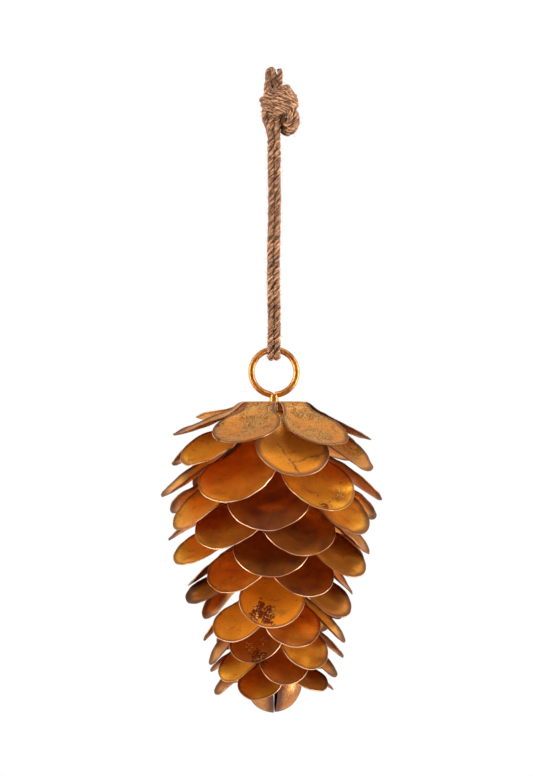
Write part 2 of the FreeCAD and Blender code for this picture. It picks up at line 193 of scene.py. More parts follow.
# Each box: its name, its place, width and height in metres, and its watts
SOFT_BOXES = [("left_box", (-1.3, -0.3, -0.2), 0.6, 1.4, 30.0),
              ("right_box", (1.3, -0.2, -0.2), 0.6, 1.4, 34.0),
              ("top_box", (0.1, -0.6, 1.0), 0.6, 0.6, 7.0),
              ("low_box", (0.0, -1.0, -0.9), 1.0, 0.5, 14.0)]
for box in SOFT_BOXES:
    soft_box(*box)
print(len(SOFT_BOXES), "soft boxes of", sum(watts for *_, watts in SOFT_BOXES), "watts in all")


# %% Paint the room
def rays_of(tree):
    """1 on what the camera sees, and 1 on what metal or glass shows."""
    path = tree.nodes.new("ShaderNodeLightPath")
    names = ("Is Camera Ray", "Is Glossy Ray", "Is Transmission Ray")
    camera_ray, glossy_ray, glass_ray = [Field(tree, path.outputs[name]) for name in names]
    return camera_ray, glossy_ray + glass_ray


ROOM_LIGHT = 0.27                # how bright the room is where it's darkest
SIDE_LIGHT = 0.75                # what the white sides, ceiling and back wall add
world = bpy.data.worlds.new("room")
bpy.context.scene.world = world
world.use_nodes = True
room = world.node_tree
room_paint = room.nodes["Background"]
room_paint.inputs["Color"].default_value = (1.0, 1.0, 1.0, 1.0)
to_side, to_back, to_top = parts_of(add_node(room, "ShaderNodeTexCoord"))
back_wall = to_back.smooth(0.1, 0.8)
walls = to_side.math("ABSOLUTE").smooth(0.35, 0.9) + back_wall + to_top.smooth(0.25, 0.9) * 0.8
lit = walls.limit() * SIDE_LIGHT + ROOM_LIGHT
seen, mirrored = rays_of(room)
white = (seen + mirrored * back_wall).limit()
join(room, room_paint.inputs["Strength"], lit + white * (1.0 - lit))
print("room light from", ROOM_LIGHT, "to", round(ROOM_LIGHT + SIDE_LIGHT, 2))

# %% Lay the floor
FLOOR_LEVEL = -0.62
FLOOR_RADIUS = 0.85
FLOOR_RINGS = 12
FLOOR_SIDES = 64


def floor_mesh():
    points = [(0.0, 0.0, FLOOR_LEVEL)]
    faces = []
    for ring in range(1, FLOOR_RINGS + 1):
        for side in range(FLOOR_SIDES):
            turn = 2 * math.pi * side / FLOOR_SIDES
            reach = FLOOR_RADIUS * ring / FLOOR_RINGS
            points.append((reach * math.cos(turn), reach * math.sin(turn), FLOOR_LEVEL))
    for ring in range(FLOOR_RINGS):
        for side in range(FLOOR_SIDES):
            following = (side + 1) % FLOOR_SIDES
            outer = 1 + ring * FLOOR_SIDES
            inner = outer - FLOOR_SIDES
            if ring == 0:
                faces.append((0, outer + side, outer + following))
            else:
                faces.append((inner + side, outer + side, outer + following, inner + following))
    mesh = bpy.data.meshes.new("floor")
    mesh.from_pydata(points, [], faces)
    return mesh


floor = new_object("floor", floor_mesh())
print("floor faces", len(floor.data.polygons))


# %% [markdown]
# ## Finishes
#
# A finish is a small node tree too. The class keeps the tree, its shader and the object's own coordinates, so
# that each finish below reads as a list of layers: first the bare metal, then what time and heat did to it.


# %% Keep a finish and its layers together
class Finish:
    def __init__(self, name, roughness=0.5, metallic=0.0):
        self.material = bpy.data.materials.new(name)
        self.material.use_nodes = True
        self.tree = self.material.node_tree
        self.shader = self.tree.nodes["Principled BSDF"]
        self.shader.inputs["Roughness"].default_value = roughness
        self.shader.inputs["Metallic"].default_value = metallic
        self.place = add_node(self.tree, "ShaderNodeTexCoord", output=3)

    def set(self, name, value):
        join(self.tree, self.shader.inputs[name], value)

    def attribute(self, name, output=2):
        return add_node(self.tree, "ShaderNodeAttribute", output=output, attribute_name=name)

    def noise(self, grain, detail=3.0, rough=0.5, bend=0.0, at=None):
        """Noise from 0 to 1 with lumps about as large as grain, in mm."""
        inputs = {"Vector": at or self.place, "Scale": 1.0 / (grain * MM), "Detail": detail,
                  "Roughness": rough, "Distortion": bend}
        return add_node(self.tree, "ShaderNodeTexNoise", inputs)

    def mix(self, share, first, second):
        inputs = {0: share, 6: first, 7: second}
        return add_node(self.tree, "ShaderNodeMix", inputs, output=2, data_type="RGBA")

    def bump(self, height, depth):
        """Raise the surface by height, from 0 to 1, times depth in mm."""
        inputs = {"Height": height, "Distance": depth * MM, "Strength": 1.0}
        self.set("Normal", add_node(self.tree, "ShaderNodeBump", inputs))


# %% Paint the floor
FLOOR_COLOUR = (0.86, 0.86, 0.86, 1.0)


def floor_finish():
    """Pale paint that fades into the white background towards the floor's rim."""
    made = Finish("pale_floor", roughness=0.8)
    made.set("Base Color", FLOOR_COLOUR)
    x, y, _ = parts_of(made.place)
    fade = length_of(x, y).smooth(0.25 * FLOOR_RADIUS, 0.98 * FLOOR_RADIUS)
    seen, mirrored = rays_of(made.tree)
    paint = Field(made.tree, made.shader.outputs[0])
    glow = add_node(made.tree, "ShaderNodeEmission")
    share = (seen + mirrored).limit() * fade
    surface = add_node(made.tree, "ShaderNodeMixShader", {0: share, 1: paint, 2: glow})
    join(made.tree, made.tree.nodes["Material Output"].inputs["Surface"], surface)
    return made.material


floor.data.materials.append(floor_finish())
print("floor finish:", floor.data.materials[0].name)


# %% [markdown]
# ## The copper of the scales
#
# The sheet is thin metal under a warm orange lacquer that was heated over a flame. Each scale took the heat
# differently and lies in more or less light: `shade` says how far it goes from bright orange to dark
# red-brown, partly the flame's own tone and partly painted shade, darker on the scales deep in the cone that
# little light reaches; below 0 it says how far thick lacquer hides the metal. A second value says how much
# of the face is a pale sandy film, which on the top scales is also a painted sheen where they catch the
# light. The cut edge of the sheet is bright in places, partly bare metal and partly a painted highlight where
# the rim catches the light, a dark line runs inside it, and `burn` says how far the purple-brown scorch
# reaches in from the tip.

# %% Name the copper's colours
ORANGE = (0.95, 0.40, 0.030, 1.0)
AMBER = (0.66, 0.23, 0.03, 1.0)
LACQUER = (0.80, 0.23, 0.006, 1.0)
# Dark red-brown: the tone of streaks, grain and scratches, and also painted shade on the scales deep in the
# cone
RED_BROWN = (0.25, 0.082, 0.036, 1.0)
SAND = (0.14, 0.050, 0.012, 1.0)
# Pale dusty film, which on the top scales is also painted sheen
DUST_AND_SHEEN = (0.54, 0.30, 0.11, 1.0)
SCORCH = (0.085, 0.036, 0.030, 1.0)
# Bright cut edge: partly bare metal, partly painted highlight where the rim catches the light
EDGE = (0.74, 0.43, 0.26, 1.0)
FLAKE = (1.0, 0.62, 0.20, 1.0)
RUST = (0.16, 0.020, 0.005, 1.0)
SOOT = (0.012, 0.006, 0.005, 1.0)

# %% Mark chips, scratches and dots
# Where the lacquer of the front scales is chipped, seen from the front: across, up, reach, flakes and rust
CHIPS = [(-8.0, -309.6, 6.5, 0.1, 1.0), (-4.5, -310.6, 6.5, 0.0, 1.0), (-10.2, -307.0, 2.4, 1.0, 0.3),
         (-1.0, -309.0, 2.6, 0.9, 0.2), (-9.5, -311.5, 2.4, 0.9, 0.4),
         (-46.0, -226.0, 3.2, 0.9, 0.3), (37.0, -243.0, 4.5, 0.5, 0.3), (29.0, -249.0, 3.5, 0.3, 0.8),
         (-8.5, -335.4, 6.0, 0.6, 1.0), (-13.0, -330.0, 4.5, 0.8, 0.2), (-6.0, -327.0, 3.0, 0.9, 0.1)]
# Where tarnish ran along a scratch, between two places seen from the front: across, up, across, up
SCRATCHES = [(2.0, -215.0, 14.5, -230.5), (8.0, -225.5, 29.0, -219.0)]
SCRATCH_WIDTH = 1.0
# Where dark dots sit: across, up, reach
DOTS = [(-30.9, -212.4, 0.85), (-31.8, -204.4, 0.7), (-29.0, -203.6, 0.5), (24.5, -243.5, 0.35),
        (12.4, -303.0, 0.35), (37.6, -236.8, 0.4)]


def near(made, across, up, reach, ragged=0.0):
    """1 at a place on the front of the ornament, fading to 0 at its reach, which may be ragged."""
    x, y, z = parts_of(made.place)
    away = length_of(x - across * MM, z - up * MM)
    if ragged:
        away = away + (made.noise(3.5, detail=4.0, rough=0.7) - 0.5) * (ragged * reach * MM)
    return (1.0 - away.smooth(reach * MM * 0.3, reach * MM)) * y.math("LESS_THAN", 0.0)


def beside_line(made, x1, z1, x2, z2, width):
    """1 on a line between two places on the front of the ornament, fading to 0 at width to each side."""
    x, y, z = parts_of(made.place)
    wander = (made.noise(9.0, detail=4.0) - 0.5) * (6.0 * width * MM)
    run_x, run_z = (x2 - x1) * MM, (z2 - z1) * MM
    from_x, from_z = x - x1 * MM, z - z1 * MM + wander
    share = ((from_x * run_x + from_z * run_z) / (run_x ** 2 + run_z ** 2)).limit()
    away = length_of(from_x - share * run_x, from_z - share * run_z)
    return (1.0 - away.smooth(0.0, width * MM)) * y.math("LESS_THAN", 0.0)


def copper_marks(made, colour):
    """Chips with bright flakes and rust round them, and dark dots."""
    flakes = made.noise(1.0, detail=3.0, rough=0.6)
    crust = made.noise(2.2, detail=5.0, rough=0.7)
    for across, up, reach, bright, rusty in CHIPS:
        here = near(made, across, up, reach, ragged=4.0)
        colour = made.mix((here * (crust + 0.2)).smooth(0.2, 0.42) * rusty, colour, RUST)
        colour = made.mix((here * flakes).smooth(0.60 - 0.1 * bright, 0.63 - 0.1 * bright), colour, FLAKE)
    for ends in SCRATCHES:
        dark = beside_line(made, *ends, SCRATCH_WIDTH) * crust.smooth(0.35, 0.6)
        colour = made.mix(dark, colour, RED_BROWN)
    for across, up, reach in DOTS:
        colour = made.mix(near(made, across, up, reach * 1.4), colour, SOOT)
    return colour


print(len(CHIPS), "chips,", len(SCRATCHES), "scratches and", len(DOTS), "dots")


# %% Layer the copper
EDGE_WIDTH = 0.12                # how far the bright cut edge shows on the face, in mm
LINE_WIDTH = 0.8                 # the dark line inside it
BURN_WIDTH = 7.5                 # how far the scorch reaches in where burn is 1
GRAIN_DEPTH = 0.16
BARE_METAL = 0.9                 # how far the sheet shines like metal under thin lacquer,
LACQUER_DULLS = 0.8              # and how much of that thick lacquer takes away


def copper_layers(made, shade, sand_and_sheen):
    """The colour of the finish away from the rim, and the noises that its roughness and height share."""
    grain = made.noise(0.9, detail=6.0, rough=0.75)
    patches = made.noise(17.0, detail=4.0, rough=0.55, bend=0.5)
    streaks = made.noise(6.0, detail=6.0, rough=0.65, bend=1.2)
    # The flame's tone of each scale together with its painted shade: bright orange, then amber, then dark
    # red-brown on the scales deep in the cone
    heat_and_shade = (shade + (patches - 0.5) * 1.1).limit()
    colour = made.mix(heat_and_shade.smooth(0.0, 0.55), ORANGE, AMBER)
    colour = made.mix((0.0 - shade).limit(), colour, LACQUER)
    colour = made.mix(heat_and_shade.smooth(0.45, 1.0), colour, RED_BROWN)
    colour = made.mix(streaks.smooth(0.54, 0.70) * 0.45, colour, RED_BROWN)
    colour = made.mix(grain.smooth(0.48, 0.66) * 0.35, colour, RED_BROWN)
    # The pale sandy film, which on the top scales is also a painted sheen where they catch the light
    film = made.mix((grain * 0.75 + streaks * 0.25).smooth(0.44, 0.56), DUST_AND_SHEEN, SAND)
    film = made.mix(patches.smooth(0.46, 0.62) * 0.6, film, AMBER)
    colour = made.mix((sand_and_sheen * (0.6 + patches * 0.8)).limit(), colour, film)
    return colour, grain, patches


def copper_finish(name):
    made = Finish(name)
    rim, shade, sand_and_sheen, burn = [made.attribute(label) for label in ("rim", "shade", "sand_and_sheen", "burn")]
    colour, grain, patches = copper_layers(made, shade, sand_and_sheen)
    colour = copper_marks(made, colour)
    wander = made.noise(5.0, detail=4.0, rough=0.6)
    reach = burn * (BURN_WIDTH * MM) + LINE_WIDTH * MM
    scorch = (1.0 - (rim / (reach * (0.5 + wander))).smooth(0.25, 1.0)) * (0.6 + burn * 0.4)
    colour = made.mix(scorch.limit(), colour, SCORCH)
    # The bright cut edge is partly bare metal rubbed clean and partly a painted highlight where the rim
    # catches the light, less where the tip is burnt
    rubbed_and_glinting = made.noise(22.0, detail=2.0).smooth(0.42, 0.6) - burn * 1.6
    bright_edge = (1.0 - rim.smooth(EDGE_WIDTH * MM * 0.6, EDGE_WIDTH * MM)) * (rubbed_and_glinting + 0.15).limit()
    colour = made.mix(bright_edge.limit(), colour, EDGE)
    made.set("Base Color", colour)
    made.set("Metallic", BARE_METAL - (0.0 - shade).limit() * LACQUER_DULLS)
    made.set("Roughness", (0.27 + grain * 0.16 + sand_and_sheen * 0.14 + scorch * 0.15).limit())
    made.set("Specular Tint", (1.0, 0.78, 0.62, 1.0))
    made.bump(grain * 0.6 + patches * 0.4, GRAIN_DEPTH)
    return made.material


copper = copper_finish("copper_sheet")
print("copper nodes", len(copper.node_tree.nodes))

# %% [markdown]
# ## Geometry trees
#
# A geometry tree makes whatever follows a rule. It's built once, with named inputs for its sizes, and run on
# one piece after another. Its result is kept as a plain mesh, so that nothing has to be worked out again.


# %% Start a geometry tree and run it
def start_tree(name, floats, materials=("Finish",)):
    """A geometry tree with number and material inputs, its inputs as Fields, and its output socket."""
    tree = bpy.data.node_groups.new(name, "GeometryNodeTree")
    tree.interface.new_socket("Geometry", in_out="INPUT", socket_type="NodeSocketGeometry")
    for label in floats:
        tree.interface.new_socket(label, in_out="INPUT", socket_type="NodeSocketFloat")
    for label in materials:
        tree.interface.new_socket(label, in_out="INPUT", socket_type="NodeSocketMaterial")
    tree.interface.new_socket("Geometry", in_out="OUTPUT", socket_type="NodeSocketGeometry")
    start = tree.nodes.new("NodeGroupInput")
    given = {socket.name: Field(tree, socket) for socket in start.outputs if socket.name}
    return tree, given, tree.nodes.new("NodeGroupOutput").inputs["Geometry"]


def carrying_points(name, values):
    """A mesh of points at the origin, one for each copy that a tree makes, which carry its numbers."""
    mesh = bpy.data.meshes.new(name)
    mesh.from_pydata([(0.0, 0.0, 0.0)] * len(next(iter(values.values()))), [], [])
    for label, numbers in values.items():
        mesh.attributes.new(label, "FLOAT", "POINT").data.foreach_set("value", numbers)
    return mesh


def run_tree(piece, tree, values):
    modifier = piece.modifiers.new(tree.name, "NODES")
    modifier.node_group = tree
    for item in tree.interface.items_tree:
        if item.in_out == "INPUT" and item.name in values:
            modifier[item.identifier] = values[item.name]


def stand_in(piece, finish, *nodes):
    """Let a piece take the place of the CAD solids of these nodes."""
    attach(piece, "root")
    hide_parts(*nodes)
    print(piece.name, "faces", len(piece.data.polygons))


def mesh_of(made):
    """What an object's modifiers or splines come to, as a plain mesh."""
    bpy.context.view_layer.update()
    graph = bpy.context.evaluated_depsgraph_get()
    return bpy.data.meshes.new_from_object(made.evaluated_get(graph), preserve_all_data_layers=True,
                                           depsgraph=graph)


def keep_result(piece):
    """Replace a piece's mesh by what its modifiers make of it, and remove them."""
    result = mesh_of(piece)
    piece.modifiers.clear()
    piece.data = result


# %% Carry numbers and join geometry in a tree
def store(geometry, name, value, kind="FLOAT"):
    inputs = {"Geometry": geometry, "Name": name, "Value": value}
    return add_node(geometry.tree, "GeometryNodeStoreNamedAttribute", inputs, data_type=kind)


def stored(tree, name, kind="FLOAT"):
    return add_node(tree, "GeometryNodeInputNamedAttribute", {"Name": name}, data_type=kind)


def noise_at(where, scale, detail=2.0):
    return add_node(where.tree, "ShaderNodeTexNoise", {"Vector": where, "Scale": scale, "Detail": detail})


def position(tree):
    return add_node(tree, "GeometryNodeInputPosition")


def move(geometry, **how):
    """Set a geometry's Position, or shift it by an Offset."""
    return add_node(geometry.tree, "GeometryNodeSetPosition", {"Geometry": geometry, **how})


def weld(geometry, distance):
    inputs = {"Geometry": geometry, "Distance": distance * MM}
    return add_node(geometry.tree, "GeometryNodeMergeByDistance", inputs)


def joined(*parts):
    """Several geometries as one."""
    made = add_node(parts[0].tree, "GeometryNodeJoinGeometry")
    for part in parts:
        join(made.tree, made.socket.node.inputs[0], part)
    return made


def copied(points, instance, **more):
    """A geometry at every point, all as one mesh."""
    inputs = {"Points": points, "Instance": instance, **more}
    copies = add_node(points.tree, "GeometryNodeInstanceOnPoints", inputs)
    return add_node(points.tree, "GeometryNodeRealizeInstances", {0: copies})


def end_tree(result, geometry, finish):
    """Shade a tree's geometry smooth, give it its finish and lead it to the tree's output."""
    smooth = add_node(geometry.tree, "GeometryNodeSetShadeSmooth", {"Geometry": geometry})
    inputs = {"Geometry": smooth, "Material": finish}
    join(geometry.tree, result, add_node(geometry.tree, "GeometryNodeSetMaterial", inputs))


# %% [markdown]
# ## The rosettes
#
# Each rosette is one sheet: a six-sided plate with a hole, and six scales with a narrow neck, two flares and
# a round head. The scale's outline is made of circles that touch, so a formula gives every point of it.
# The tree lays a plain grid over that shape, from the middle line out to the rim, which leaves even bands
# along the rim for the burn and the rounded edge. Six copies are then dished, bent down at the crease and
# turned to their places, each a little differently, as hands do it.

# %% List the sizes of the rosettes
CONE_DROP = 191.4
SHEET = 0.6
WIRE_RADIUS = 1.8
SCALE_COUNT = 6
BEND_SCATTER = 2.6
TURN_SCATTER = 1.3
DISH_TOP = 75.0                  # the top scales are dished like a ball
DISH = 150.0                     # the others curve this gently from crease to tip,
TROUGH_RATIO = 1.5               # and from side to side on this many of their widths
ROSETTE_COLUMNS = ("step", "crease", "neck", "width", "length", "droop", "turn")
ROSETTES = [
    (0.0, 17.5, 18.5, 39.5, 45.3, 26.6, -20.0),
    (5.5, 17.5, 18.5, 42.0, 53.2, 37.5, 15.0),
    (14.2, 19.0, 19.0, 45.0, 57.9, 38.4, -23.0),
    (14.5, 19.0, 19.0, 46.0, 56.6, 39.7, -4.0),
    (14.5, 18.5, 18.5, 43.5, 53.5, 40.0, 22.0),
    (14.5, 18.0, 18.0, 42.7, 53.6, 37.9, -1.0),
    (14.5, 16.0, 16.0, 39.0, 44.5, 42.0, 27.0),
    (14.5, 15.5, 16.0, 37.4, 44.5, 40.6, -1.0),
    (15.7, 14.0, 14.0, 33.5, 41.0, 46.5, 23.0),
    (14.5, 13.0, 13.5, 31.0, 38.0, 41.0, -20.0),
    (13.9, 12.0, 12.0, 28.0, 33.0, 42.0, 15.0),
    (12.8, 11.0, 11.5, 26.5, 30.5, 36.0, -18.0),
]
# How much further a scale droops and turns than its rosette's rule, in degrees: rosette, then scale
BENT_SCALES = {
    1: {0: (0.0, -4.5), 1: (6.0, -3.0), 2: (3.0, 0.0), 3: (-5.0, 0.0), 4: (-11.0, 0.0), 5: (-4.0, 0.0)},
    2: {0: (2.0, 0.0), 1: (4.0, -8.0), 2: (-6.0, 0.0), 5: (-6.0, -5.0)},
    3: {0: (0.0, -3.0), 1: (6.0, -3.0), 5: (-2.0, 0.0)},
    4: {0: (2.0, -1.0), 1: (3.0, 0.0), 4: (-8.0, 6.0), 5: (5.0, 0.0)},
    5: {0: (2.0, -3.0), 1: (4.0, -2.0), 4: (-4.0, 0.0), 5: (-1.5, 6.0)},
    6: {0: (-3.0, -1.0), 1: (4.0, -5.0), 2: (5.0, 3.0), 5: (-8.0, 3.0)},
    7: {0: (0.0, -2.0), 1: (9.0, -1.0), 5: (-4.5, 0.0)},
    8: {0: (9.0, 0.0), 1: (1.0, -7.0), 2: (10.0, 0.0), 4: (10.0, 6.0), 5: (-12.0, 0.0)},
    9: {0: (1.0, -5.0), 5: (-4.0, 0.0)},
    10: {0: (-3.0, 0.0), 1: (6.0, -4.0), 2: (5.0, 0.0), 5: (10.0, 0.0)},
    11: {0: (-1.0, -2.0), 5: (0.0, -3.0)},
    12: {1: (-5.0, 3.0)},
}
# How the flame treated the scales that show, and the painted shade and sheen they carry: shade, sand and
# burn, from 0 to 1, or a shade below 0 where the lacquer is thick. The shade is partly painted shade, darkest
# on the scales deep in the middle of the cone, and a high sand on the top scales is partly painted sheen
TREATED_AND_SHADED = {
    1: {0: (0.5, 0.85, 0.3), 1: (0.3, 0.9, 0.35), 2: (0.3, 0.8, 0.7), 4: (0.2, 0.5, 0.2),
        5: (0.35, 0.8, 0.7)},
    2: {0: (-0.6, 0.12, 0.5), 1: (0.25, 0.7, 0.45), 5: (-0.1, 0.0, 0.3)},
    3: {0: (0.2, 0.0, 0.15), 1: (0.1, 0.0, 0.2)},
    4: {0: (0.74, 0.0, 0.05), 1: (0.2, 0.05, 0.6), 5: (0.0, 0.0, 0.3)},
    5: {0: (0.64, 0.0, 0.05), 5: (0.3, 0.05, 0.1)},
    6: {0: (0.66, 0.05, 0.0), 1: (0.35, 0.05, 0.4), 5: (0.0, 0.0, 0.3)},
    7: {0: (0.68, 0.0, 0.1), 5: (0.2, 0.1, 0.2)},
    8: {0: (-0.8, 0.0, 0.2), 1: (0.45, 0.1, 0.4), 5: (0.5, 0.2, 0.8)},
    9: {0: (0.4, 0.0, 0.2), 5: (-0.3, 0.0, 0.2)},
    10: {0: (0.5, 0.0, 0.15), 1: (0.3, 0.0, 0.3)},
    11: {0: (0.55, 0.0, 0.15), 5: (-0.2, 0.0, 0.2)},
    12: {0: (0.2, 0.0, 0.2), 1: (0.4, 0.2, 0.3)},
}
rosette_rows = [dict(zip(ROSETTE_COLUMNS, row)) for row in ROSETTES]
for above, row in zip([None] + rosette_rows, rosette_rows):
    row["level"] = (above["level"] if above else -CONE_DROP) - row["step"]
print("lowest plate at", round(rosette_rows[-1]["level"], 1), "mm")


# %% Lay a grid
def grid(tree, across, along):
    """A grid from -1 to 1 across and 0 to 1 along, with its two coordinates."""
    made = add_node(tree, "GeometryNodeMeshGrid", {"Size X": 2.0, "Size Y": 1.0, "Vertices X": across + 1,
                                                   "Vertices Y": along + 1})
    x, y, _ = parts_of(position(tree))
    return made, x, y + 0.5


def toward_rim(share):
    """Bands get narrower towards the rim."""
    return 1.0 - (1.0 - share).limit().math("POWER", 1.5)


def choose(test, yes, no):
    """yes where test is 1 and no where it is 0."""
    return no + (yes - no) * test


# %% Draw the flat scale and its share of the plate
RIM_SPANS = 88                   # faces along a scale's outline
BANDS = 12                       # faces from the middle line out to the rim
PLATE_ROWS = 6
HOLE_RADIUS = WIRE_RADIUS + 0.1
FAR_FROM_RIM = 10.0              # the plate counts as this far from any rim, so that it takes no scorch


def flat_scale(tree, given):
    made, along_rim, band = grid(tree, RIM_SPANS, BANDS)
    out = toward_rim(band)
    from_tip = along_rim.math("ABSOLUTE")
    side = along_rim.math("SIGN")
    head_run = given["Head"] * given["Head sweep"]
    share = head_run / (head_run + given["Flare"] * given["Flare sweep"])
    on_head = from_tip.math("LESS_THAN", share)
    head_turn = (from_tip / share).limit() * given["Head sweep"]
    flare_turn = ((1.0 - from_tip) / (1.0 - share)).limit() * given["Flare sweep"]
    rim_x = choose(on_head, given["Middle"] + given["Head"] * head_turn.cos(),
                   given["Flare"] * flare_turn.sin())
    rim_y = choose(on_head, given["Head"] * head_turn.sin(),
                   given["Neck"] + given["Flare"] * (1.0 - flare_turn.cos()))
    spine = rim_x.math("MINIMUM", given["Middle"])
    flat = vector_of(spine + (rim_x - spine) * out, rim_y * out * side, 0.0)
    to_rim = length_of(rim_x - spine, rim_y) * (1.0 - out)
    return move(store(made, "rim", to_rim), Position=flat)


def flat_plate(tree, given):
    """One sixth of the plate, from the hole for the wire to the crease."""
    made, across, along = grid(tree, 2 * BANDS, PLATE_ROWS)
    out = toward_rim(across.math("ABSOLUTE")) * across.math("SIGN")
    angle = out * (math.pi / SCALE_COUNT)
    hole = HOLE_RADIUS * MM
    at_crease = along.math("GREATER_THAN", 1.0 - 0.5 / PLATE_ROWS)
    reach = given["Crease"] * math.tan(math.pi / SCALE_COUNT)
    half = choose(at_crease, given["Neck"], reach)
    x = choose(along, given["Crease"], angle.cos() * hole) - given["Crease"]
    y = choose(along, half * out, angle.sin() * hole)
    return move(store(made, "rim", FAR_FROM_RIM * MM), Position=vector_of(x, y, 0.0))


# %% Bend and turn six scales
SCALE_INPUTS = ("Crease", "Neck", "Head", "Middle", "Flare", "Head sweep", "Flare sweep", "Length",
                "Dish", "Trough", "Level", "Seed")
BEND_RUN = 1.3                   # half of the length over which the sheet bends
STIFF_RUN = 7.0                  # the crease keeps the sheet from dishing over this length
DENT_DEPTH = 2.8                 # from the highest hammered spot to the lowest
RIPPLE_DEPTH = 1.0               # the same for the finer waves of the rim,
RIPPLE_RUN = 7.0                 # which fade over this distance from it


def rosette_tree():
    tree, given, result = start_tree("bent_rosette", SCALE_INPUTS)
    one = weld(joined(flat_plate(tree, given), flat_scale(tree, given)), 0.02)
    sheet = copied(given["Geometry"], one)
    x, y, _ = parts_of(position(tree))
    droop, turn, stray, shade = [stored(tree, name) for name in ("droop", "turn", "stray", "shade")]

    # The dish is gentle along the scale and tighter across it, and fades to flat at the crease
    half = given["Length"] * 0.5
    rise = (given["Dish"] * given["Dish"] - half * half).root()
    off = x - half
    across = given["Dish"] - given["Trough"] + (given["Trough"] * given["Trough"] - y * y).root()
    neck_dip = given["Neck"] * given["Neck"] * 0.25 / given["Trough"]
    dish = rise - (across * across - off * off).root() - neck_dip
    free = x.smooth(0.0, STIFF_RUN * MM)
    where = vector_of(x, y, shade * 3.0 + given["Seed"])
    hammer, ripple = noise_at(where, 55.0, 1.5), noise_at(where, 130.0, 1.0)
    rim = stored(tree, "rim")
    near_rim = 1.0 - rim.smooth(0.0, RIPPLE_RUN * MM)
    dents = (hammer - 0.5) * (DENT_DEPTH * MM) + (ripple - 0.5) * near_rim * (RIPPLE_DEPTH * MM)
    lift = (dish + dents) * free

    # The sheet bends along an arc round the crease and runs straight on
    run = BEND_RUN * MM
    bend = ((x + run) / (2 * run)).limit() * droop
    arc = 2 * run / droop
    beyond = (x - run).math("MAXIMUM", 0.0)
    before = (x + run).math("MINIMUM", 0.0)
    along = arc * bend.sin() + beyond * bend.cos() + before - run
    down = arc * (1.0 - bend.cos()) + beyond * bend.sin()
    out = given["Crease"] + along + lift * bend.sin()
    bent = vector_of(out, y, given["Level"] - down + lift * bend.cos())
    spin = turn + stray * x.smooth(given["Crease"] * -0.5, 0.0)
    turned = add_node(tree, "ShaderNodeVectorRotate", {"Vector": bent, "Angle": spin}, rotation_type="Z_AXIS")
    end_tree(result, weld(move(sheet, Position=turned), 0.01), given["Finish"])
    return tree


bent_rosette = rosette_tree()
print("rosette tree nodes", len(bent_rosette.nodes))

# %% Set out the six scales of a rosette
# The scatter of hand work is a wave that runs on by these angles, in degrees
SCATTER_PER_SCALE = 137.5
SCATTER_PER_ROSETTE = 71.0
TURN_WAVE = 1.7
SHADE_WAVE = 3.1


def scale_points(number, row):
    """Six points that carry each scale's turn, droop and finish."""
    values = {name: [] for name in ("turn", "stray", "droop", "shade", "sand_and_sheen", "burn")}
    for index in range(SCALE_COUNT):
        wave = SCATTER_PER_SCALE * index + SCATTER_PER_ROSETTE * number
        scatter = math.sin(math.radians(wave))
        further_droop, further_turn = BENT_SCALES[number].get(index, (0.0, 0.0))
        chance = 0.5 + 0.5 * math.sin(math.radians(SHADE_WAVE * wave))
        treated_and_shaded = TREATED_AND_SHADED[number].get(index, (0.2 + 0.4 * chance, 0.1 + 0.25 * chance, 0.8 - 0.3 * chance))
        values["turn"].append(math.radians(row["turn"] - 90 + 360 / SCALE_COUNT * index))
        values["stray"].append(math.radians(further_turn
                                            + TURN_SCATTER * math.sin(math.radians(TURN_WAVE * wave))))
        values["droop"].append(math.radians(row["droop"] + BEND_SCATTER * scatter + further_droop))
        for name, value in zip(("shade", "sand_and_sheen", "burn"), treated_and_shaded):
            values[name].append(value)
    return carrying_points("rosette_%02d" % number, values)


def outline_inputs(row):
    """The circles of a scale's outline: its head, its flares and how far each arc sweeps."""
    neck, head = row["neck"] / 2, row["width"] / 2
    middle = row["length"] - head
    flare = (middle ** 2 + neck ** 2 - head ** 2) / (2 * (head - neck))
    touch = flare / (flare + head)
    return {"Neck": neck * MM, "Head": head * MM, "Middle": middle * MM, "Flare": flare * MM,
            "Head sweep": math.atan2((neck + flare) * (1 - touch), middle * touch - middle),
            "Flare sweep": math.atan2(middle, neck + flare)}


# %% Give the sheet its thickness and build the twelve rosettes
EDGE_ROUNDING = 0.13


def finish_sheet(piece):
    """Give a piece made by a tree its thickness and its rounded edges, and keep the result."""
    wall = piece.modifiers.new("sheet", "SOLIDIFY")
    wall.thickness = SHEET * MM
    wall.offset = 0.0
    rounding = piece.modifiers.new("edge", "BEVEL")
    rounding.width = EDGE_ROUNDING * MM
    rounding.segments = 2
    rounding.limit_method = "ANGLE"
    rounding.angle_limit = math.radians(60)
    keep_result(piece)


for number, row in enumerate(rosette_rows, start=1):
    name = "rosette_%02d" % number
    piece = new_object(name + "_sheet", scale_points(number, row))
    dish, trough = (DISH_TOP, DISH_TOP) if number == 1 else (DISH, TROUGH_RATIO * row["width"])
    run_tree(piece, bent_rosette, {
        **outline_inputs(row), "Crease": row["crease"] * MM, "Length": row["length"] * MM, "Dish": dish * MM,
        "Trough": trough * MM, "Level": row["level"] * MM, "Seed": float(number), "Finish": copper})
    finish_sheet(piece)
    stand_in(piece, "copper_sheet", name)

# %% [markdown]
# ## The jute cord
#
# The cord is jute: three strands laid round each other, each a bundle of coarse fibres. It is one cord that
# passes through the ring twice, so four legs hang from the knot. Each pass follows a smooth NURBS line, and a
# tree winds three strands round that line and gives every point a fibre coordinate, which runs along the
# twist and carries the fine streaks of the finish. Loose fibres are scattered over the strands as hairs.

# %% Sow loose fibres
HAIR_DENSITY = 90000             # loose fibres on a square metre of cord
HAIR_RADIUS = 0.06


def scaled(vector, factor):
    return add_node(vector.tree, "ShaderNodeVectorMath", {0: vector, 3: factor}, operation="SCALE")


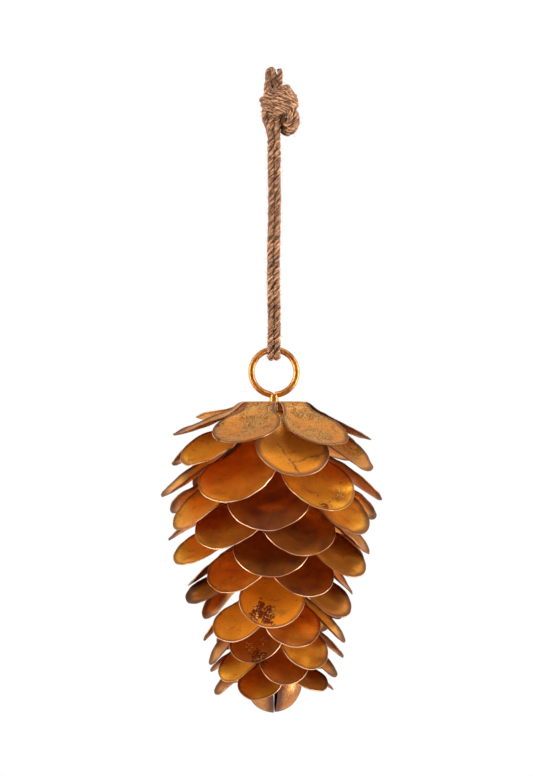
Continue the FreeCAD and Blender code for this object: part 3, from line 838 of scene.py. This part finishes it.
def loose_fibres(tree, cord):
    """Short bent hairs that lean every way off the cord."""
    inputs = {"Start": (0.0, 0.0, -0.1 * MM), "Middle": (0.5 * MM, 0.0, 1.1 * MM),
              "End": (2.6 * MM, 0.0, 1.0 * MM), "Resolution": 4}
    arc = add_node(tree, "GeometryNodeCurveQuadraticBezier", inputs)
    ring = add_node(tree, "GeometryNodeCurvePrimitiveCircle", {"Resolution": 3, "Radius": HAIR_RADIUS * MM})
    hair = add_node(tree, "GeometryNodeCurveToMesh", {"Curve": arc, "Profile Curve": ring, "Fill Caps": True})
    sown = add_node(tree, "GeometryNodeDistributePointsOnFaces", {"Mesh": cord, "Density": HAIR_DENSITY})
    outward = Field(tree, sown.socket.node.outputs["Rotation"])
    spin = add_node(tree, "FunctionNodeRandomValue", {2: 0.0, 3: 2 * math.pi}, output=1)
    turned = add_node(tree, "FunctionNodeRotateRotation", {0: outward, 1: vector_of(0.0, 0.0, spin)},
                      rotation_space="LOCAL")
    size = add_node(tree, "FunctionNodeRandomValue", {2: 0.35, 3: 1.05, "Seed": 4}, output=1)
    hairs = copied(sown, hair, Rotation=turned, Scale=vector_of(size, size, size))
    where = scaled(position(tree), 400.0)
    return store(store(hairs, "fibre", where, "FLOAT_VECTOR"), "reach", 1.0)


# %% Lay three strands round a line
STRAND_SIDES = 12
STRAND_SHARE = 0.58              # a strand's radius as a share of the cord's
YARN_LAY = 9.0                   # the fibres go once round their strand in this length
SWAY = 2.6                       # how unevenly the strands are laid, in radians


def laid_cord_tree():
    tree, given, result = start_tree("laid_cord", ("Cord radius", "Lay", "Step"))
    line = add_node(tree, "GeometryNodeMeshToCurve", {"Mesh": given["Geometry"]})
    inputs = {"Curve": line, "Length": given["Step"]}
    fine = add_node(tree, "GeometryNodeResampleCurve", inputs, mode="LENGTH")
    three = add_node(tree, "GeometryNodeDuplicateElements", {"Geometry": fine, "Amount": 3}, domain="SPLINE")
    index = Field(tree, three.socket.node.outputs["Duplicate Index"])
    length = add_node(tree, "GeometryNodeSplineParameter", output=1)
    place = position(tree)
    noted = store(store(store(three, "along", length), "strand", index), "middle", place, "FLOAT_VECTOR")
    sway = noise_at(place, 130.0, 1.0)
    angle = length / given["Lay"] * (2 * math.pi) + index * (2 * math.pi / 3) + (sway - 0.5) * SWAY
    inputs = {"Vector": add_node(tree, "GeometryNodeInputNormal"),
              "Axis": add_node(tree, "GeometryNodeInputTangent"), "Angle": angle}
    away = add_node(tree, "ShaderNodeVectorRotate", inputs, rotation_type="AXIS_ANGLE")
    wound = move(noted, Offset=scaled(away, given["Cord radius"] * (1.0 - STRAND_SHARE)))
    inputs = {"Resolution": STRAND_SIDES, "Radius": given["Cord radius"] * STRAND_SHARE}
    ring = add_node(tree, "GeometryNodeCurvePrimitiveCircle", inputs)
    ring = store(ring, "around", add_node(tree, "GeometryNodeSplineParameter") * (2 * math.pi))
    inputs = {"Curve": wound, "Profile Curve": ring, "Fill Caps": True}
    tube = add_node(tree, "GeometryNodeCurveToMesh", inputs)
    along, around, strand = [stored(tree, name) for name in ("along", "around", "strand")]
    twist = around - along * (2 * math.pi / (YARN_LAY * MM))
    fibre = vector_of(twist.cos() + strand * 7.0, twist.sin(), along * 90.0)
    tube = store(tube, "fibre", fibre, "FLOAT_VECTOR")
    swell = (noise_at(fibre, 1.4, 3.0) - 0.5) * given["Cord radius"]
    tube = move(tube, Offset=scaled(add_node(tree, "GeometryNodeInputNormal"), swell))
    # How far each point lies from the cord's middle, which the finish turns into painted shade between the
    # strands
    inputs = {0: place, 1: stored(tree, "middle", "FLOAT_VECTOR")}
    reach = add_node(tree, "ShaderNodeVectorMath", inputs, output=1, operation="DISTANCE")
    tube = store(tube, "reach", reach / given["Cord radius"])
    end_tree(result, joined(tube, loose_fibres(tree, tube)), given["Finish"])
    return tree


laid_cord = laid_cord_tree()
print("cord tree nodes", len(laid_cord.nodes))

# %% Finish the jute
# The jute's colours: the darkest is painted shade, the lightest partly painted highlight
JUTE_SHADOW = (0.018, 0.005, 0.002, 1.0)
JUTE = (0.24, 0.078, 0.026, 1.0)
JUTE_LIGHT = (0.86, 0.45, 0.22, 1.0)
FIBRE_DEPTH = 0.6


def jute_finish():
    made = Finish("jute", roughness=0.85)
    fibre = made.attribute("fibre", output=1)
    streaks = add_node(made.tree, "ShaderNodeTexNoise", {"Vector": fibre, "Scale": 3.6, "Detail": 4.0,
                                                        "Roughness": 0.7})
    wisps = noise_at(fibre, 2.0)
    # Dark fibre streaks are partly the jute's own tone and partly painted shade between fibres; light ones
    # are partly painted highlights
    colour = made.mix(streaks.smooth(0.40, 0.52), JUTE_SHADOW, JUTE)
    colour = made.mix((streaks * 0.7 + wisps * 0.3).smooth(0.48, 0.60), colour, JUTE_LIGHT)
    # Painted shade in the valleys between the strands, where the surface lies close to the cord's middle
    colour = made.mix(made.attribute("reach").smooth(0.64, 1.08), JUTE_SHADOW, colour)
    made.set("Base Color", colour)
    made.bump(streaks, FIBRE_DEPTH)
    return made.material


jute = jute_finish()
print("jute nodes", len(jute.node_tree.nodes))

# %% Draw the route of the cord as NURBS lines
CORD_RADIUS = 2.05
CORD_BESIDE = 1.75               # the legs lie this far to each side, so close that their fibres mesh
CORD_LEAN = 0.5                  # how far a leg wanders where its point says 1
CORD_LAY = 13.0                  # the strands go once round in this length, in mm
CORD_STEP = 0.6
KNOT_FOOT = -26.9
WIRE_LEVEL = -161.0              # the middle of the ring's wire, where the cord goes round it
WIRE_REACH = WIRE_RADIUS + CORD_RADIUS + 0.45
# Where a leg wanders: share of its height, sideways, forward
LEG_POINTS = [(0.12, 0.3, 0.2), (0.33, -1.0, 0.5), (0.60, 0.8, 0.0), (0.84, 0.0, 0.0)]


def cord_leg(side, facing):
    """Points of one leg from the knot down to the ring; facing is -1 in front of the wire and 1 behind."""
    beside = side * CORD_BESIDE
    depth = CORD_RADIUS
    start = WIRE_LEVEL + WIRE_REACH
    points = [(beside, facing * depth, KNOT_FOOT)]
    for share, sideways, forward in reversed(LEG_POINTS):
        spread = depth + (WIRE_REACH - depth) * (1 - share) ** 3
        points.append((beside + CORD_LEAN * sideways, facing * (spread + CORD_LEAN * forward),
                       start + (KNOT_FOOT - start) * share))
    points.append((beside, facing * WIRE_REACH, start))
    points.append((beside, facing * WIRE_REACH, WIRE_LEVEL - WIRE_REACH))
    return points


def smooth_lines(name, routes):
    """One mesh of the fine points of NURBS lines, each with its route's points as control points."""
    curve = bpy.data.curves.new(name, "CURVE")
    curve.dimensions = "3D"
    curve.resolution_u = 14
    for route in routes:
        spline = curve.splines.new("NURBS")
        spline.points.add(len(route) - 1)
        for point, place in zip(spline.points, route):
            point.co = (*(Vector(place) * MM), 1.0)
        spline.order_u = 3
        spline.use_endpoint_u = True
    drawn = new_object(name, curve)
    line = mesh_of(drawn)
    bpy.data.objects.remove(drawn)
    return line


def lay_cord(name, routes, radius, nodes, lay=CORD_LAY):
    line = smooth_lines(name, routes)
    points = [vertex.co.copy() for vertex in line.vertices]
    made = new_object(name, line)
    run_tree(made, laid_cord, {"Cord radius": radius * MM, "Lay": lay * MM, "Step": CORD_STEP * MM,
                               "Finish": jute})
    keep_result(made)
    stand_in(made, "jute", *nodes)
    return made, points


cords = {}
for label, side in (("left", -1), ("right", 1)):
    route = cord_leg(side, -1) + list(reversed(cord_leg(side, 1)))
    cords[label] = lay_cord("jute_cord_" + label, [route], CORD_RADIUS, ["hanger_cord_" + label])

# %% [markdown]
# ## The knot
#
# All four legs are tied together in one overhand knot, and the cord's fold and two ends stand out above it.
# The knot shows as a band of turns that slants up to the right, and a lower lobe where the turns come round
# from behind. The turns are drawn as a few more NURBS lines, and the same tree lays the strands.

# %% Wind the knot
KNOT_MIDDLE = Vector((3.1, 0.0, -17.6))
KNOT_TILT = math.radians(30)
BAND_TURNS = 6
POINTS_PER_TURN = 14
BAND_HEIGHT = 13.2               # along the tilted barrel, between the middles of its end turns
BAND_HALF_WIDTH = 9.1
BAND_HALF_DEPTH = 7.6
BARREL_TIP = 13.0                # the barrel would close this far from its middle
BAND_WOBBLE = 0.03
KNOT_CORD_RADIUS = 1.75          # the knot pulls the cord tighter
KNOT_LAY = 8.0


def band_route():
    """A barrel of slanting turns round the legs, from the top down."""
    route = []
    for step in range(BAND_TURNS * POINTS_PER_TURN + 1):
        share = step / (BAND_TURNS * POINTS_PER_TURN)
        turn = 2 * math.pi * step / POINTS_PER_TURN + math.pi / 2
        height = BAND_HEIGHT * (0.5 - share)
        girth = math.sqrt(1 - (height / BARREL_TIP) ** 2)
        wobble = 1 + BAND_WOBBLE * math.sin(2.3 * turn)
        x, y = BAND_HALF_WIDTH * girth * wobble * math.cos(turn), BAND_HALF_DEPTH * girth * math.sin(turn)
        route.append(KNOT_MIDDLE + Vector((x * math.cos(KNOT_TILT) - height * math.sin(KNOT_TILT), y,
                                           x * math.sin(KNOT_TILT) + height * math.cos(KNOT_TILT))))
    return route


LOBE_ROUTES = [
    [(4.0, -3.0, -20.0), (8.6, -5.2, -21.5), (12.4, -4.8, -24.5), (12.0, -4.4, -31.0), (8.6, -3.0, -34.4),
     (6.0, 0.5, -33.6), (4.5, 4.5, -31.0), (0.0, 6.6, -28.0), (-4.6, 4.6, -25.0), (-5.0, 1.0, -21.0)],
    [(4.0, 1.0, -19.0), (9.6, -1.2, -21.0), (13.8, -0.8, -25.5), (12.6, -0.6, -33.0), (8.0, 0.4, -36.0),
     (5.2, 4.0, -34.4), (2.5, 7.0, -30.0), (-2.0, 7.6, -25.0), (-6.0, 4.6, -21.5), (-5.4, 0.6, -18.0)],
    [(4.0, 4.0, -18.0), (9.6, 3.4, -20.0), (13.0, 3.6, -25.0), (11.4, 4.2, -31.4), (7.4, 5.6, -33.0),
     (3.0, 8.2, -29.6), (-2.6, 8.2, -23.6), (-6.0, 4.6, -18.6), (-4.6, 0.6, -15.0)],
    [(6.0, -4.4, -22.0), (8.6, -6.0, -23.6), (9.8, -6.0, -27.6), (8.0, -4.4, -31.0), (6.4, -1.0, -30.6),
     (4.8, 3.0, -28.0), (0.0, 4.0, -26.0)],
    [(5.0, 1.0, -17.0), (5.4, 0.6, -22.0), (4.9, 0.2, -26.0), (6.2, 0.4, -31.0)],
    [(6.5, 2.8, -17.0), (8.6, 2.0, -23.0), (8.8, 1.6, -28.0), (7.0, 1.6, -32.0)],
    [(-2.0, -4.6, -19.0), (-5.4, -3.6, -21.6), (-5.7, -2.6, -25.5), (-3.9, -2.4, -30.0), (-2.0, -2.2, -35.0)],
    [(-2.0, 3.4, -19.0), (-5.6, 2.4, -22.0), (-5.6, 1.4, -27.0), (-3.4, 1.8, -32.0), (-2.0, 2.2, -37.0)],
]
CORE_ROUTES = [[(x, y, KNOT_FOOT), (x, y, -20.0), (x * 0.9 - 0.6, y * 0.9, -12.0), (x - 1.3, y * 0.8, -7.0)]
               for x in (-2.1, 2.1) for y in (-2.1, 2.1)]
knot, _ = lay_cord("jute_knot", [band_route()] + LOBE_ROUTES + CORE_ROUTES, KNOT_CORD_RADIUS,
                   ["hanger_knot"], lay=KNOT_LAY)

# %% Fold the bight and set the two ends
STUB_LAY = 9.0
bight_route = [(-4.0, 0.3, -14.0), (-4.5, 0.0, -10.0), (-3.3, 0.0, -5.0), (-3.5, 0.1, -1.6), (-2.8, 0.0, 0.9),
               (-1.8, 0.0, 1.4), (-0.5, 0.0, 0.8), (-0.4, -0.2, -1.6), (-0.5, 0.0, -5.0), (0.0, 0.0, -9.0)]
front_end = [(3.1, 0.0, -10.0), (3.4, -0.2, -6.0), (3.6, -0.3, -2.0), (3.2, -0.4, 1.4)]
back_end = [(0.9, 3.1, -10.0), (0.9, 3.1, -6.0), (1.2, 3.0, -3.0), (1.0, 3.2, -1.6)]
bight, front, back = [
    lay_cord("jute_" + label, [route], radius, ["cord_" + label], lay=STUB_LAY)[0]
    for label, route, radius in (("bight", bight_route, 1.85), ("end_front", front_end, 1.65),
                                 ("end_back", back_end, 1.6))]

for label, side in (("left", -1), ("right", 1)):
    piece, points = cords[label]

# %% [markdown]
# ## The bud and what is carried over
#
# The bud at the bottom is a ball of sheet, slit from below into four lobes. The tree lays a grid over a
# quarter of the ball and draws its two long sides in to leave the slits. The wire, the sleeves and the nut
# keep the CAD solids' shapes and only get a finish here.

# %% Shape the bud's lobes
BUD_RADIUS = 15.9
BUD_PLATE = 6.5
SLIT_WIDTH = 3.0
SLIT_FOOT = 0.7
SLIT_RISE = 1.5
BUD_LEVEL = rosette_rows[-1]["level"] - SHEET / 2 - math.sqrt(BUD_RADIUS ** 2 - BUD_PLATE ** 2)
LOBES = 4
BUD_TOP_ANGLE = math.asin(BUD_PLATE / BUD_RADIUS)
SLIT_TOP_ANGLE = math.acos(SLIT_RISE / BUD_RADIUS)
LOBE_COLUMNS = 36
LOBE_ROWS = 44
LOBE_GAP = 0.03                  # the lobes stop this short of the ball's foot, in radians
LOBE_DENTING = 0.05              # from the highest hammered spot to the lowest, as a share of the radius


def bud_tree():
    tree, given, result = start_tree("slit_bud", ("Radius",))
    made, across, down = grid(tree, LOBE_COLUMNS, LOBE_ROWS)
    out = toward_rim(across.math("ABSOLUTE")) * across.math("SIGN")
    fall = BUD_TOP_ANGLE + down * (math.pi - BUD_TOP_ANGLE - LOBE_GAP)
    ball = given["Radius"]
    slit_depth = 1.0 - (fall.cos() + 1.0) / (1.0 + SLIT_RISE / BUD_RADIUS)
    slit = (SLIT_WIDTH - slit_depth * (SLIT_WIDTH - SLIT_FOOT)) * 0.5 * MM
    in_slit = fall.math("GREATER_THAN", SLIT_TOP_ANGLE)
    girth = ball * fall.sin()
    lost = (slit / girth).math("MINIMUM", math.sin(math.pi / LOBES)).math("ARCSINE") * in_slit
    turn = out * (math.pi / LOBES - lost)
    to_rim = (1.0 - out.math("ABSOLUTE")) * girth * (math.pi / LOBES) + (1.0 - in_slit) * (4.0 * MM)
    spot = vector_of(girth * turn.cos(), girth * turn.sin(), ball * fall.cos())
    lobe = move(store(made, "rim", to_rim), Position=spot)
    sheet = copied(given["Geometry"], lobe)
    place = position(tree)
    x, y, z = parts_of(place)
    turn, dent = stored(tree, "turn"), stored(tree, "dent")
    free = (0.0 - z / ball).smooth(-0.1, 0.9)
    hammer = noise_at(vector_of(x, y, z + turn), 110.0)
    swell = 1.0 + (hammer - 0.5) * LOBE_DENTING - dent * free
    inputs = {"Vector": scaled(place, swell), "Angle": turn}
    spin = add_node(tree, "ShaderNodeVectorRotate", inputs, rotation_type="Z_AXIS")
    hung = add_node(tree, "ShaderNodeVectorMath", {0: spin, 1: (0.0, 0.0, BUD_LEVEL * MM)}, operation="ADD")
    end_tree(result, weld(move(sheet, Position=hung), 0.02), given["Finish"])
    return tree


# %% Set out the four lobes and finish the bud
LOBE_TURNS = [48.0, 138.0, 228.0, 318.0]
LOBE_DENTS = [0.0, 0.0, -0.012, 0.03]    # the front left lobe stands proud and the right one is dented
# The lobes' high shade is partly painted shade, which darkens the bud's lower faces
bud = new_object("bud_sheet", carrying_points("bud", {
    "turn": [math.radians(turn) for turn in LOBE_TURNS], "dent": LOBE_DENTS,
    "shade": [0.8, 0.8, 0.9, 0.9], "sand_and_sheen": [0.4] * LOBES, "burn": [0.5, 0.5, 0.8, 0.7]}))
run_tree(bud, bud_tree(), {"Radius": (BUD_RADIUS - SHEET / 2) * MM, "Finish": copper})
finish_sheet(bud)
stand_in(bud, "copper_sheet", "bud_cap")

# %% Finish the carried-over solids
EYE_MIDDLE = -174.1
BRASS = (0.62, 0.245, 0.050, 1.0)
BRASS_BROWN = (0.26, 0.085, 0.022, 1.0)
BRASS_PALE = (0.88, 0.47, 0.18, 1.0)
OILED_STEEL = (0.26, 0.14, 0.07, 1.0)
OLD_OIL = (0.15, 0.075, 0.035, 1.0)


def steel_finish():
    made = Finish("plain_steel", roughness=0.4, metallic=1.0)
    made.set("Base Color", made.mix(made.noise(2.0), OLD_OIL, OILED_STEEL))
    return made.material


def wire_finish():
    """Brass wire with fine lines drawn along it, which follow the ring round."""
    made = Finish("ring_wire", roughness=0.36, metallic=0.9)
    x, y, z = parts_of(made.place)
    ring_z = z - EYE_MIDDLE * MM
    along_wire = vector_of(length_of(x, ring_z) * 2.0, y * 2.0, ring_z.math("ARCTAN2", x) * 0.006)
    lines = made.noise(1.0, detail=5.0, rough=0.65, at=along_wire)
    worn = made.noise(5.0, detail=4.0, rough=0.6)
    colour = made.mix((lines * 0.6 + worn * 0.4).smooth(0.40, 0.60), BRASS_BROWN, BRASS)
    made.set("Base Color", made.mix(lines.smooth(0.60, 0.72) * 0.6, colour, BRASS_PALE))
    made.bump(lines, 0.05)
    return made.material


wire, steel = wire_finish(), steel_finish()
for name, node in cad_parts.items():
    if node.hide_render:
        continue
    node.data.materials.clear()
    node.data.materials.append(wire if name == "eye_rod" else steel)
    print(name, "keeps the CAD solid's shape")
